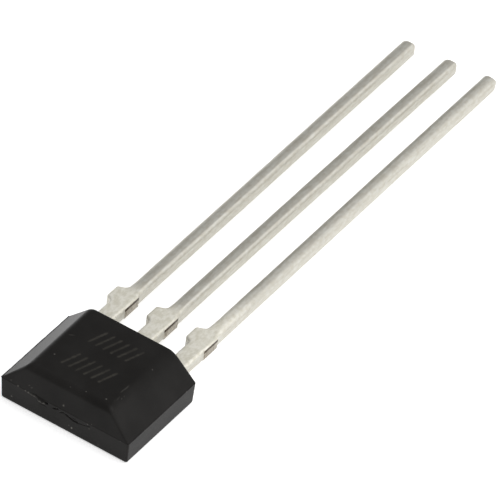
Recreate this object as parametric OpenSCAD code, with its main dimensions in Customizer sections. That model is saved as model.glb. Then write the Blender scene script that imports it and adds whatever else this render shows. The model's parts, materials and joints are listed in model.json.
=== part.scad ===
// Hall effect sensor in a flat single-in-line package with three leads.
// A chip sits on the paddle of the middle lead and is wired to all three leads. Black epoxy is
// moulded round the chip and the inner ends of the leads, so the body has a pocket that fits each of them.
// X runs across the leads, +Y points from the body to the lead tips, +Z points out of the marked face.
// The origin is the middle of the flat back face. Lengths are in millimetres.

/* [Body] */
// Width of the body at the parting line
body_w = 4.09; // [3.9:0.01:4.3]
// Length of the body at the parting line, from the plain end to the lead end
body_l = 3.07; // [2.9:0.01:3.3]
// Height of the body from the back face to the marked face
body_h = 1.48; // [1.38:0.01:1.6]
// Height of the parting line, where the chamfers of the upper mould half begin
parting_h = 0.715; // [0.65:0.005:0.78]
// Slope of the two side chamfers above the parting line
chamfer_angle = 46; // [40:1:55]
// Draft of all four walls below the parting line
low_draft = 2.5; // [1:0.5:7]
// Draft of the plain end above the parting line
plain_end_draft = 8.5; // [5:0.5:11]
// Draft of the lead end above the parting line
lead_end_draft = 4.5; // [1:0.5:7]
// Radius where each chamfer runs into the marked face
chamfer_top_r = 0.3; // [0.05:0.01:0.4]
// Radius where the plain end runs into the marked face
plain_end_top_r = 0.15; // [0.05:0.01:0.25]
// Radius where the lead end runs into the marked face
lead_end_top_r = 0.07; // [0.04:0.01:0.2]
// Radius round the edge of the back face
back_edge_r = 0.09; // [0.03:0.01:0.12]

/* [Mould marks] */
// Diameter of the ejector pin mark in the back face
ejector_d = 1; // [0.6:0.05:1.4]
// Distance of the ejector pin mark from the middle of the body, towards the lead end
ejector_y = -0.65; // [-0.8:0.05:0.8]
// Depth of the ejector pin mark
ejector_depth = 0.04; // [0.02:0.005:0.08]
// Width of the gate scar on the plain end
gate_w = 1.05; // [0.6:0.05:1.4]
// Height of the gate scar
gate_h = 0.22; // [0.12:0.01:0.3]
// How far the gate scar is broken into the plain end
gate_depth = 0.03; // [0.01:0.005:0.05]
// Distance of the middle of the gate scar from the middle of the body
gate_x = 0.335; // [0:0.005:0.6]
// Length of the ridge of flash beside the gate scar
flash_l = 1; // [0.5:0.05:1.3]
// Height of the ridge of flash
flash_h = 0.06; // [0.03:0.01:0.1]
// How far the ridge of flash stands proud of the plain end
flash_proud = 0.03; // [0.01:0.005:0.06]

/* [Leads] */
// Distance between neighbouring leads
pitch = 1.27; // [1.15:0.01:1.4]
// Width of a lead
lead_w = 0.4; // [0.34:0.005:0.44]
// Thickness of the leadframe strip
lead_t = 0.385; // [0.32:0.005:0.42]
// Height of the middle of the strip above the back face
lead_mid_h = 0.575; // [0.55:0.005:0.6]
// Length of the middle lead outside the body
lead_l = 15.04; // [12:0.02:18]
// How much longer each lead was cut than its neighbour on the side of the first lead
trim_step = 0.1; // [-0.3:0.02:0.3]
// Radius of the long edges that the stamping die rolled over
roll_r = 0.12; // [0.05:0.01:0.15]
// Radius of the long edges on the burr side
burr_side_r = 0.03; // [0.02:0.005:0.05]
// Radius of the two corners at the tip of a lead, seen from the marked face
tip_corner_r = 0.1; // [0.04:0.01:0.14]

/* [Lead roots] */
// How much wider each lead is on its long stub side, from the body to its stub
root_long = 0.075; // [0.04:0.005:0.1]
// How much wider it is there on its short stub side
root_short = 0.03; // [0.01:0.005:0.04]

/* [Dambar stubs] */
// Distance from the body to the middle of the stubs
stub_y = 1.48; // [1.2:0.01:1.9]
// Width of a stub at its sheared end, measured along the lead
stub_w = 0.47; // [0.4:0.01:0.56]
// Slant of the two flanks of a stub, which make it narrower towards its sheared end
stub_slant = 26; // [20:1:35]
// How far the stub stands out of the lead on its long side
stub_long = 0.26; // [0.18:0.01:0.32]
// How far it stands out on its short side
stub_short = 0.05; // [0.05:0.005:0.08]
// Radius of the fillets where a stub meets its lead
stub_fillet_r = 0.14; // [0.06:0.01:0.2]
// Radius of the two corners at the sheared end of a stub
stub_corner_r = 0.09; // [0.02:0.01:0.1]

/* [Leadframe inside the body] */
// Width of the paddle that carries the chip
paddle_w = 1.7; // [1.4:0.05:2]
// Length of the paddle
paddle_l = 1.4; // [1.2:0.05:1.5]
// Width of the bond post at the inner end of each outer lead
post_w = 0.8; // [0.6:0.02:0.9]
// Length of a bond post along the lead
post_l = 0.4; // [0.3:0.02:0.45]
// Clear gap between the stamped pieces inside the body
frame_gap = 0.18; // [0.12:0.01:0.2]
// Corner radius of the paddle and of the posts
frame_corner_r = 0.08; // [0.04:0.01:0.12]
// Radius of the round notches that lock the leads in the epoxy
notch_r = 0.07; // [0.04:0.01:0.09]

/* [Chip] */
// Distance from the plain end to the Hall plate, which is the middle of the chip
hall_y = 1.45; // [1.35:0.01:1.6]
// Width of the chip
die_w = 1.1; // [0.9:0.02:1.3]
// Length of the chip
die_l = 1; // [0.8:0.02:1.1]
// Thickness of the chip
die_t = 0.2; // [0.15:0.01:0.24]
// Thickness of the adhesive under the chip
attach_t = 0.02; // [0.01:0.005:0.03]
// How far the adhesive is squeezed out past the chip
attach_fillet = 0.05; // [0.02:0.01:0.08]
// Inset of the bond pads from the edges of the chip
pad_inset = 0.12; // [0.08:0.01:0.2]

/* [Bond wires] */
// Diameter of the bond wire
wire_d = 0.025; // [0.02:0.001:0.038]
// Height of the wire loops above the face of the chip
loop_h = 0.14; // [0.1:0.01:0.2]
// Diameter of the ball at the chip end of a wire
ball_d = 0.08; // [0.06:0.005:0.1]
// Height of the ball
ball_h = 0.02; // [0.015:0.001:0.03]

/* [Hidden] */

// Degrees of turn in each step of a rounded corner
arc_step = 10;
// How far cutting shapes run past what they cut
over = 0.2;

// Walls of the mould
low_inset = parting_h * tan(low_draft);
upper_h = body_h - parting_h;
chamfer_run = upper_h / tan(chamfer_angle);
plain_inset = upper_h * tan(plain_end_draft);
lead_inset = upper_h * tan(lead_end_draft);
plain_y = -body_l / 2;
lead_end_y = body_l / 2;

// Levels in the strip and in the stack of the chip
strip_bottom = lead_mid_h - lead_t / 2;
strip_top = lead_mid_h + lead_t / 2;
die_bottom = strip_top + attach_t;
die_top = die_bottom + die_t;

// Places in the plan of the leadframe
chip_y = plain_y + hall_y;
paddle_inner_y = chip_y - paddle_l / 2;
paddle_outer_y = chip_y + paddle_l / 2;
post_inner_y = paddle_outer_y + frame_gap;
post_outer_y = post_inner_y + post_l;
post_mid_y = (post_inner_y + post_outer_y) / 2;
notch_y = (post_outer_y + lead_end_y) / 2;
// Short straight land between the fillet of a stub and the foot that fades into the strip
fillet_land = 0.02;
// How far the wide root of a lead reaches into the body, which is deeper than the draft of the wall
root_sunk = 0.06;

// Sides of the wires and of the balls, which are too fine to need true curves
wire_sides = 8;
ball_sides = 12;
// Radii of the two bends in a wire
riser_bend_r = 0.05;
landing_bend_r = 0.15;
// Length of wire pressed flat on its post
foot_l = 0.06;

// Direction from a to b, as a vector of length 1
function heading(a, b) = (b - a) / norm(b - a);

// Angle of a vector in the plane
function bearing(v) = atan2(v.y, v.x);

// Signed turn from one angle to another, at most half a turn
function turn(from, to) = let (d = to - from) d > 180 ? d - 360 : d < -180 ? d + 360 : d;

// Points of the arc of radius r that rounds the corner p between the points a and b
function corner_arc(p, a, b, r) =
    let (
        to_a = heading(p, a),
        to_b = heading(p, b),
        half = acos(to_a * to_b) / 2,
        centre = p + r / sin(half) * heading([0, 0], to_a + to_b),
        reach = r / tan(half),
        start = bearing(p + reach * to_a - centre),
        sweep = turn(start, bearing(p + reach * to_b - centre)),
        steps = max(1, ceil(abs(sweep) / arc_step))
    )
    [for (i = [0 : steps]) let (t = start + sweep * i / steps) centre + r * [cos(t), sin(t)]];

// Outline through points written [x, y, corner radius]; a radius of 0 leaves a sharp corner
function rounded(points) =
    let (n = len(points), flat = [for (p = points) [p.x, p.y]])
    [for (i = [0 : n - 1])
        each points[i].z > 0
            ? corner_arc(flat[i], flat[(i + n - 1) % n], flat[(i + 1) % n], points[i].z)
            : [flat[i]]];

// Solid from an outline in X and Z, running along Y between two places
module along_y(from, to) {
    translate([0, to, 0])
        rotate([90, 0, 0])
            linear_extrude(to - from)
                children();
}

// Solid from an outline in Y and Z, running along X between two places
module along_x(from, to) {
    translate([from, 0, 0])
        rotate([90, 0, 90])
            linear_extrude(to - from)
                children();
}

// Solid from an outline in X and Y, running up between two levels
module along_z(from, to) {
    translate([0, 0, from])
        linear_extrude(to - from)
            children();
}

// Section of the body across the leads: two drafted walls with a chamfer above each
module cross_section() {
    side = body_w / 2;
    back = side - low_inset;
    top = side - chamfer_run;
    polygon(rounded([
        [-back, 0, back_edge_r],
        [back, 0, back_edge_r],
        [side, parting_h, 0],
        [top, body_h, chamfer_top_r],
        [-top, body_h, chamfer_top_r],
        [-side, parting_h, 0]
    ]));
}

// Section of the body along the leads: the plain end is the steeper draft
module long_section() {
    polygon(rounded([
        [plain_y + low_inset, 0, back_edge_r],
        [lead_end_y - low_inset, 0, back_edge_r],
        [lead_end_y, parting_h, 0],
        [lead_end_y - lead_inset, body_h, lead_end_top_r],
        [plain_y + plain_inset, body_h, plain_end_top_r],
        [plain_y, parting_h, 0]
    ]));
}

// Outer shape that the two mould halves give, without the marks of the mould
module moulding() {
    intersection() {
        along_y(plain_y - over, lead_end_y + over)
            cross_section();
        along_x(-body_w / 2 - over, body_w / 2 + over)
            long_section();
    }
}

// Round flat that the ejector pin leaves in the back face
module ejector_mark() {
    translate([0, ejector_y, -over])
        cylinder(d = ejector_d, h = over + ejector_depth, $fn = 48);
}

// Shallow crescent where the gate was broken off, hanging just under the parting line
module gate_scar() {
    sag_r = (pow(gate_w / 2, 2) + pow(gate_h, 2)) / (2 * gate_h);
    along_y(plain_y - over, plain_y + gate_depth)
        translate([gate_x, parting_h])
            intersection() {
                translate([0, sag_r - gate_h])
                    circle(r = sag_r, $fn = 90);
                translate([-gate_w, -gate_h - over])
                    square([2 * gate_w, gate_h + over]);
            }
}

// Thin ridge of flash squeezed out at the parting line beside the gate
module flash_ridge() {
    ridge_end = gate_x - gate_w / 2;
    translate([ridge_end - flash_l, 0, 0])
        along_x(0, flash_l)
            polygon([
                [plain_y + gate_depth, parting_h - flash_h],
                [plain_y, parting_h - flash_h],
                [plain_y - flash_proud, parting_h],
                [plain_y + gate_depth, parting_h]
            ]);
}

// Black epoxy with a pocket for every piece inside it
module body() {
    color([0.14, 0.14, 0.14])
        difference() {
            union() {
                moulding();
                flash_ridge();
            }
            ejector_mark();
            gate_scar();
            lead_1_solid();
            lead_2_solid();
            lead_3_solid();
            attach_solid();
            die_solid();
            for (i = [1 : 3])
                wire_solid(i);
        }
}

// Place of a lead across the body, for lead 1, 2 or 3
function lead_x(i) = (i - 2) * pitch;

// Place of the tip of a lead
function tip_y(i) = lead_end_y + lead_l + (i - 2) * trim_step;

// Straight strip of a lead, rolled over along its upper edges and at its tip
module strip(i, inner_y) {
    side = lead_w / 2;
    tip = tip_y(i);
    intersection() {
        translate([lead_x(i), 0, 0])
            along_z(strip_bottom - over, strip_top + over)
                polygon(concat(
                    [[-side - over, inner_y - over], [side + over, inner_y - over]],
                    [[side + over, tip - tip_corner_r]],
                    corner_arc([side, tip], [side, 0], [-side, tip], tip_corner_r),
                    corner_arc([-side, tip], [side, tip], [-side, 0], tip_corner_r),
                    [[-side - over, tip - tip_corner_r]]
                ));
        along_y(inner_y, tip_y(i))
            translate([lead_x(i), 0])
                polygon(rounded([
                    [-side, strip_bottom, burr_side_r],
                    [side, strip_bottom, burr_side_r],
                    [side, strip_top, roll_r],
                    [-side, strip_top, roll_r]
                ]));
        along_x(lead_x(i) - lead_w, lead_x(i) + lead_w)
            polygon(rounded([
                [inner_y - over, strip_bottom, 0],
                [tip_y(i), strip_bottom, burr_side_r],
                [tip_y(i), strip_top, roll_r],
                [inner_y - over, strip_top, 0]
            ]));
    }
}

// Wide root of a lead, with the same rolled edges, from inside the body to the middle of the stub
module lead_root(i) {
    side = lead_w / 2;
    along_y(lead_end_y - root_sunk, lead_end_y + stub_y)
        translate([lead_x(i), 0])
            polygon(rounded([
                [-side - root_long, strip_bottom, burr_side_r],
                [side + root_short, strip_bottom, burr_side_r],
                [side + root_short, strip_top, roll_r],
                [-side - root_long, strip_top, roll_r]
            ]));
}

// One side of a dambar stub: two filleted flanks narrow towards the sheared end, and the foot of
// each flank fades into a rolled edge, on the body side into the one of the wide root
module stub_side(stand_out, root_out) {
    side = lead_w / 2;
    root = side + root_out;
    end_x = side + stand_out;
    end_half = stub_w / 2;
    root_half = end_half + (stand_out - root_out) * tan(stub_slant);
    half = end_half + stand_out * tan(stub_slant);
    root_fillet = min(stub_fillet_r, 0.7 * (stand_out - root_out));
    fillet = min(stub_fillet_r, 0.7 * stand_out);
    corner = min(stub_corner_r, 0.45 * (stand_out - root_out));
    root_flank = root_half + root_fillet + fillet_land;
    flank = half + fillet + fillet_land;
    along_z(strip_bottom, strip_top)
        polygon(rounded([
            [0, -root_flank - roll_r, 0],
            [root - roll_r, -root_flank - roll_r, 0],
            [root, -root_flank, 0],
            [root, -root_half, root_fillet],
            [end_x, -end_half, corner],
            [end_x, end_half, corner],
            [side, half, fillet],
            [side, flank, 0],
            [side - roll_r, flank + roll_r, 0],
            [0, flank + roll_r, 0]
        ]));
}

// What is left of the dambar on both sides of a lead
module dambar_stub(i) {
    translate([lead_x(i), lead_end_y + stub_y, 0]) {
        stub_side(stub_short, root_short);
        mirror([1, 0, 0])
            stub_side(stub_long, root_long);
    }
}

// Round notch in one flank of a lead, which keys it into the epoxy
module lock_notch(x) {
    translate([x, notch_y, strip_bottom - over])
        cylinder(r = notch_r, h = lead_t + 2 * over, $fn = 32);
}

// Bond post of an outer lead: it reaches from the outer flank of its lead towards the middle one
module bond_post(hand) {
    outer = pitch + lead_w / 2;
    inner = outer - post_w;
    along_z(strip_bottom, strip_top)
        polygon(rounded([
            [hand * inner, post_inner_y, frame_corner_r],
            [hand * outer, post_inner_y, frame_corner_r],
            [hand * outer, post_outer_y, 0],
            [hand * inner, post_outer_y, frame_corner_r]
        ]));
}

// Outer lead; hand is -1 for the first lead and 1 for the third
module outer_lead(i, hand) {
    difference() {
        union() {
            strip(i, post_mid_y);
            bond_post(hand);
            lead_root(i);
            dambar_stub(i);
        }
        lock_notch(lead_x(i) + hand * lead_w / 2);
    }
}

// Paddle under the chip
module paddle() {
    side = paddle_w / 2;
    along_z(strip_bottom, strip_top)
        polygon(rounded([
            [-side, paddle_inner_y, frame_corner_r],
            [side, paddle_inner_y, frame_corner_r],
            [side, paddle_outer_y, frame_corner_r],
            [-side, paddle_outer_y, frame_corner_r]
        ]));
}

module lead_1_solid() {
    outer_lead(1, -1);
}

module lead_2_solid() {
    difference() {
        union() {
            strip(2, chip_y);
            paddle();
            lead_root(2);
            dambar_stub(2);
        }
        for (hand = [-1, 1])
            lock_notch(hand * lead_w / 2);
    }
}

module lead_3_solid() {
    outer_lead(3, 1);
}

// First lead, for the supply
module lead_1() {
    color([0.74, 0.73, 0.69])
        lead_1_solid();
}

// Middle lead, for ground, in one piece with the paddle
module lead_2() {
    color([0.74, 0.73, 0.69])
        lead_2_solid();
}

// Third lead, for the output
module lead_3() {
    color([0.74, 0.73, 0.69])
        lead_3_solid();
}

// Adhesive pad, a little larger than the chip that was pressed into it
module attach_solid() {
    side = die_w / 2 + attach_fillet;
    half = die_l / 2 + attach_fillet;
    along_z(strip_top, die_bottom)
        polygon(rounded([
            [-side, chip_y - half, attach_fillet],
            [side, chip_y - half, attach_fillet],
            [side, chip_y + half, attach_fillet],
            [-side, chip_y + half, attach_fillet]
        ]));
}

module die_attach() {
    color([0.62, 0.6, 0.56])
        attach_solid();
}

// Sawn silicon chip
module die_solid() {
    translate([-die_w / 2, chip_y - die_l / 2, die_bottom])
        cube([die_w, die_l, die_t]);
}

module die() {
    color([0.33, 0.34, 0.4])
        die_solid();
}

// Bond pad on the chip for a wire
function pad(i) = [(i - 2) * (die_w / 2 - pad_inset), chip_y + die_l / 2 - pad_inset];

// Where a wire lands: on the middle of a post, or on the neck of the middle lead
function landing(i) = [(i - 2) * (pitch + lead_w / 2 - post_w / 2), post_mid_y];

// Centre line of a wire as [distance from the pad, height]: it rises from the ball, bends over,
// slopes down to its post and runs flat on it
function wire_line(i) =
    let (
        span = norm(landing(i) - pad(i)),
        lie = strip_top + wire_d / 2 * cos(180 / wire_sides),
        ball = [0, die_top + ball_h / 2],
        crest = [0, die_top + loop_h],
        touch = [span - foot_l / 2, lie],
        end = [span + foot_l / 2, lie]
    )
    concat(
        [ball],
        corner_arc(crest, ball, touch, riser_bend_r),
        corner_arc(touch, crest, end, landing_bend_r),
        [end]
    );

// Direction of a line of points at one of them
function run_at(line, j) = heading(line[max(0, j - 1)], line[min(len(line) - 1, j + 1)]);

// Ring of points round a wire at one station, with a flat side down
function wire_ring(i, line, j) =
    let (
        u = heading(pad(i), landing(i)),
        run = run_at(line, j),
        place = pad(i) + line[j].x * u
    )
    [for (k = [0 : wire_sides - 1])
        let (
            t = (k + 0.5) * 360 / wire_sides,
            up = wire_d / 2 * cos(t),
            aside = wire_d / 2 * sin(t)
        )
        [
            place.x - up * run.y * u.x - aside * u.y,
            place.y - up * run.y * u.y + aside * u.x,
            line[j].y + up * run.x
        ]];

// Round wire swept along its centre line, with the ball that bonds it to the chip
module wire_solid(i) {
    line = wire_line(i);
    last = len(line) - 1;
    n = wire_sides;
    rings = [for (j = [0 : last]) each wire_ring(i, line, j)];
    sides = [for (j = [0 : last - 1]) for (k = [0 : n - 1])
        let (a = j * n + k, b = j * n + (k + 1) % n)
        each [[a, b, b + n], [a, b + n, a + n]]];
    start_cap = [[for (k = [0 : n - 1]) n - 1 - k]];
    end_cap = [[for (k = [0 : n - 1]) last * n + k]];
    polyhedron(rings, concat(sides, start_cap, end_cap));
    translate([pad(i).x, pad(i).y, die_top])
        cylinder(d = ball_d, h = ball_h, $fn = ball_sides);
}

// Gold wire from the chip to the supply lead
module bond_wire_1() {
    color([0.85, 0.66, 0.28])
        wire_solid(1);
}

// Gold wire from the chip to the ground lead
module bond_wire_2() {
    color([0.85, 0.66, 0.28])
        wire_solid(2);
}

// Gold wire from the chip to the output lead
module bond_wire_3() {
    color([0.85, 0.66, 0.28])
        wire_solid(3);
}

body();
lead_1();
lead_2();
lead_3();
die_attach();
die();
bond_wire_1();
bond_wire_2();
bond_wire_3();
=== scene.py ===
# %% [markdown]
# # A Hall effect sensor with three leads
# The real part is about 18 mm long. A chip sits on a stamped copper strip, gold wires join it to
# three leads, and black epoxy is moulded round them. The strip is tin plated, so the leads are pale.
# All sizes here are written in millimetres and turned into Blender's metres where a mesh is made.

# %% Load the fixed frame
import json
import math

import bpy
import numpy as np
from mathutils import Matrix, Vector
from mathutils.geometry import tessellate_polygon

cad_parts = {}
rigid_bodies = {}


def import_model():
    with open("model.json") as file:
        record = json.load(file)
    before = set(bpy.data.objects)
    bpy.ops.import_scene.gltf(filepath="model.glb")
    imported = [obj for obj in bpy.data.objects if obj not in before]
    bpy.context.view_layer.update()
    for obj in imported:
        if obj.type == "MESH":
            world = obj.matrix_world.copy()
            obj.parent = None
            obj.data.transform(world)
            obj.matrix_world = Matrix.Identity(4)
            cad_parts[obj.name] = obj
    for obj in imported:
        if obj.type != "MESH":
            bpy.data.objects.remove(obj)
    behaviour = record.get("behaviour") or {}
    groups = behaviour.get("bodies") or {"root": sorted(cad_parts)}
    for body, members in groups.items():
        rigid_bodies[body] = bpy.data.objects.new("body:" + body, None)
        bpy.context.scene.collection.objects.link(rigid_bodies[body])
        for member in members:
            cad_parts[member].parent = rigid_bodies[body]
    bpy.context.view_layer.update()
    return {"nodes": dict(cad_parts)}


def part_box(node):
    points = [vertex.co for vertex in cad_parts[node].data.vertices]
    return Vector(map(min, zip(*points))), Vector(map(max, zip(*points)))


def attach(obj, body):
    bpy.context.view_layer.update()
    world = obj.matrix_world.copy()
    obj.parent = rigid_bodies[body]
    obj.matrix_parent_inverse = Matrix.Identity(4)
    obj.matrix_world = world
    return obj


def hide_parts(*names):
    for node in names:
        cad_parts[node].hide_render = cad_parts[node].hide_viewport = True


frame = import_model()
MM = 0.001

# %% [markdown]
# ## Camera
# The part is seen from above its plain end, through a long lens, so its edges stay almost parallel.
# The camera's place is the point it looks at plus a distance along the line back to the viewer. Then
# it is rolled a little. A look-at constraint could aim it too, but a matrix keeps the roll exact.
# The lens is long for the sensor's width, so the view takes in 13 mm from 214 mm away.

# %% Aim the camera
AZIMUTH, ELEVATION, ROLL = (math.radians(a) for a in (31.043, 41.834, 5.582))
DISTANCE = 213.62
LOOK_AT = Vector((1.2318, 4.9207, 2.5404))
LENS, SENSOR_WIDTH = 586.9, 36
NEAR_CLIP, FAR_CLIP = 0.01, 20
BACK = Vector((
    math.sin(AZIMUTH) * math.cos(ELEVATION),
    -math.cos(AZIMUTH) * math.cos(ELEVATION),
    math.sin(ELEVATION),
))
right = (-BACK).cross(Vector((0, 0, 1))).normalized()
up = right.cross(-BACK)
rolled_right = math.cos(ROLL) * right + math.sin(ROLL) * up
rolled_up = math.cos(ROLL) * up - math.sin(ROLL) * right
camera = bpy.data.objects.new("camera", bpy.data.cameras.new("camera"))
bpy.context.scene.collection.objects.link(camera)
turn = Matrix((rolled_right, rolled_up, BACK)).transposed().to_4x4()
camera.matrix_world = Matrix.Translation((LOOK_AT + DISTANCE * BACK) * MM) @ turn
camera.data.sensor_width = SENSOR_WIDTH
camera.data.lens = LENS
camera.data.clip_start = NEAR_CLIP
camera.data.clip_end = FAR_CLIP
bpy.context.scene.camera = camera
print("camera at mm:", [round(c / MM, 1) for c in camera.location])

# %% [markdown]
# ## Colour and shader helpers
# Colours are picked as sRGB hex values, the way a paint chart or a screen gives them, but shaders
# add and multiply light, so they need linear values. One function does that for every colour.
# A second small function adds a shader node with its settings and links in one line.

# %% Colours
def linear(hex_code):
    """Linear RGBA from an sRGB hex value."""
    parts = [int(hex_code[i:i + 2], 16) / 255 for i in (1, 3, 5)]
    return [c / 12.92 if c <= 0.04045 else ((c + 0.055) / 1.055) ** 2.4 for c in parts] + [1.0]


print("mid grey in linear light:", round(linear("#808080")[0], 3))

# %% Shader nodes
def add(tree, kind, inputs=None, **settings):
    """Add a shader node; an input is a plain value or another node's output."""
    made = tree.nodes.new("ShaderNode" + kind)
    for name, value in settings.items():
        setattr(made, name, value)
    for name, value in (inputs or {}).items():
        if isinstance(value, bpy.types.NodeSocket):
            tree.links.new(value, made.inputs[name])
        else:
            made.inputs[name].default_value = value
    return made


def new_material(name):
    """An empty material: its node tree, ready for a shader."""
    material = bpy.data.materials.new(name)
    material.use_nodes = True
    material.node_tree.nodes.clear()
    return material, material.node_tree


def surface(tree, shader):
    """Join a shader to the material's output."""
    add(tree, "OutputMaterial", {"Surface": shader.outputs["BSDF"]})


print("shader helpers:", add.__name__, new_material.__name__, surface.__name__)

# %% [markdown]
# ## The sheet it lies on
# So small a part is often laid on opal acrylic that is lit from below, which burns out to white and
# takes no shadow. Here the floor is a large face that glows. A plain pale floor under strong lamps is
# the usual way, but it leaves a shadow along the leads. Gloss and metal mirror the sheet's strength
# even where it looks plain white. It is strongest to the left and towards the leads, which lights the
# left chamfer, and weakest in front, which keeps the plain end dark.

# %% Floor
def flat_mesh(name, corners):
    """One flat face between corner points in millimetres."""
    mesh = bpy.data.meshes.new(name)
    mesh.from_pydata([Vector(c) * MM for c in corners], [], [range(len(corners))])
    made = bpy.data.objects.new(name, mesh)
    bpy.context.scene.collection.objects.link(made)
    return made


FLOOR_HALF = 900
FLOOR_DROP = 0.002
floor = flat_mesh("floor", [
    (x * FLOOR_HALF, y * FLOOR_HALF, -FLOOR_DROP) for x, y in ((-1, -1), (1, -1), (1, 1), (-1, 1))
])
print("floor reaches", FLOOR_HALF, "mm each way")

# %% Opal acrylic, lit from below
# Its glow is a strength that falls off in front, plus what it gains to the left and further back.
opal, tree = new_material("opal_acrylic_sheet_lit_from_below")
on_sheet = add(tree, "SeparateXYZ", {"Vector": add(tree, "TexCoord").outputs["Object"]})
to_left = add(tree, "MapRange", {
    "Value": on_sheet.outputs["X"],
    "From Min": -1.8 * MM, "From Max": -3.6 * MM,
    "To Min": 0.0, "To Max": 0.45,
}, interpolation_type="SMOOTHSTEP")
to_back = add(tree, "MapRange", {
    "Value": on_sheet.outputs["Y"],
    "From Min": -0.5 * MM, "From Max": 3.5 * MM,
    "To Min": 0.0, "To Max": 1.0,
}, interpolation_type="SMOOTHSTEP")
to_front = add(tree, "MapRange", {
    "Value": on_sheet.outputs["Y"],
    "From Min": -1.5 * MM, "From Max": -5.0 * MM,
    "To Min": 0.53, "To Max": 0.34,
}, interpolation_type="SMOOTHSTEP")
lamp_glow = add(tree, "Math", {
    0: to_left.outputs["Result"], 1: to_back.outputs["Result"], 2: to_front.outputs["Result"],
}, operation="MULTIPLY_ADD")
surface(tree, add(tree, "BsdfPrincipled", {
    "Base Color": linear("#e8e8e8"),
    "Roughness": 0.9,
    "Specular IOR Level": 0.1,
    "Emission Color": linear("#ffffff"),
    "Emission Strength": lamp_glow.outputs["Value"],
}))
floor.data.materials.append(opal)
print("sheet:", opal.name)

# %% [markdown]
# ## Lights
# White cards stand round the table: one to the right, close and bright, and dimmer ones elsewhere.
# They are the world here, a white sky whose strength depends on direction, which gives soft borders
# without cost. Area lights could stand for the cards, but their edges would draw sharp stripes on the
# rolled edges of the leads. One large soft box hangs above, a little to the right.

# %% Soft box
SOFT_BOX_AIM = Vector((0, 7, 0))


def soft_box(name, direction, distance, size, power):
    """A square area light that faces the middle of the part; sizes are in millimetres."""
    lamp = bpy.data.lights.new(name, "AREA")
    lamp.size = size * MM
    lamp.energy = power
    made = bpy.data.objects.new(name, lamp)
    bpy.context.scene.collection.objects.link(made)
    along = Vector(direction).normalized()
    made.location = (SOFT_BOX_AIM + along * distance) * MM
    made.rotation_euler = along.to_track_quat("Z", "Y").to_euler()
    radiance = power / (math.pi * (size * MM) ** 2)
    print(name, "radiance", round(radiance, 2))


soft_box("soft_box_above", (0.35, 0.10, 1.0), distance=260, size=170, power=0.20)

# %% Ceiling of the sky
# It grows brighter from left to right, and brighter again where the card on the right stands. It is
# a little dimmer behind the camera, and nowhere darker than the dimmest card.
DIMMEST = 0.32
world = bpy.data.worlds.new("studio")
world.use_nodes = True
tree = world.node_tree
tree.nodes.clear()
aim = add(tree, "SeparateXYZ", {"Vector": add(tree, "TexCoord").outputs["Generated"]})
lit = add(tree, "MapRange", {
    "Value": aim.outputs["X"],
    "From Min": -0.52, "From Max": 0.12,
    "To Min": 0.31, "To Max": 0.84,
}, interpolation_type="SMOOTHSTEP")
side_wall = add(tree, "MapRange", {
    "Value": aim.outputs["X"],
    "From Min": 0.40, "From Max": 0.75,
    "To Min": 1.0, "To Max": 1.9,
}, interpolation_type="SMOOTHSTEP")
behind_camera = add(tree, "MapRange", {
    "Value": aim.outputs["Y"],
    "From Min": -0.7, "From Max": 0.1,
    "To Min": 0.9, "To Max": 1.0,
}, interpolation_type="SMOOTHSTEP")
ceiling = add(tree, "Math", {
    0: lit.outputs["Result"], 1: side_wall.outputs["Result"],
}, operation="MULTIPLY")
ceiling = add(tree, "Math", {
    0: ceiling.outputs["Value"], 1: behind_camera.outputs["Result"],
}, operation="MULTIPLY")
ceiling = add(tree, "Math", {0: ceiling.outputs["Value"], 1: DIMMEST}, operation="MAXIMUM")
print("ceiling never dimmer than", DIMMEST)

# %% Horizon of the sky
# Low down the sky is dim in front of the part and bright behind it, and it turns into the ceiling
# as the direction climbs.
horizon = add(tree, "MapRange", {
    "Value": aim.outputs["Y"],
    "From Min": -0.8, "From Max": 0.1,
    "To Min": 0.26, "To Max": 0.95,
}, interpolation_type="SMOOTHSTEP")
climb = add(tree, "MapRange", {
    "Value": aim.outputs["Z"],
    "From Min": 0.0, "From Max": 0.42,
    "To Min": 0.0, "To Max": 1.0,
}, interpolation_type="SMOOTHSTEP")
strength = add(tree, "Mix", {
    "Factor": climb.outputs["Result"],
    "A": horizon.outputs["Result"],
    "B": ceiling.outputs["Value"],
})
sky = add(tree, "Background", {"Color": linear("#ffffff"), "Strength": strength.outputs["Result"]})
add(tree, "OutputWorld", {"Surface": sky.outputs["Background"]})
bpy.context.scene.world = world
bpy.context.scene.view_settings.view_transform = "Standard"
print("world:", world.name)

# %% [markdown]
# ## Helpers for fine meshes
# Both the body and the leads are stacks of closed outlines that are joined ring to ring. That gives
# clean quads, and every rounding is simply an outline drawn a little smaller. A bevel modifier would
# also round the edges, but the mould has other radii and slopes on each side.

# %% Smooth noise that is the same every run
SEED = 45
NOISE_COUNT = 512
NOISE_START = 100


def ease(part):
    """A share from 0 to 1, with a soft start and stop."""
    return part * part * (3 - 2 * part)


def wander(x, seed, step):
    """Smooth one-dimensional noise between -1 and 1, with one new value every step."""
    values = np.random.default_rng(SEED + seed).uniform(-1, 1, NOISE_COUNT)
    at = np.asarray(x, float) / step + NOISE_START
    low = np.floor(at).astype(int)
    part = ease(at - low)
    return values[low % NOISE_COUNT] * (1 - part) + values[(low + 1) % NOISE_COUNT] * part


print("wander at 0, 1 and 2:", wander([0, 1, 2], 0, 1).round(2))

# %% Turn points and faces into an object
def skin(name, points, faces, materials, face_materials=None):
    """A smooth-shaded mesh object from points in millimetres."""
    mesh = bpy.data.meshes.new(name)
    mesh.from_pydata((np.asarray(points) * MM).tolist(), [], faces)
    for material in materials:
        mesh.materials.append(material)
    mesh.polygons.foreach_set("use_smooth", [True] * len(mesh.polygons))
    if face_materials is not None:
        mesh.polygons.foreach_set("material_index", face_materials)
    mesh.update()
    made = bpy.data.objects.new(name, mesh)
    bpy.context.scene.collection.objects.link(made)
    return made


print("mesh maker:", skin.__name__)

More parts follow.
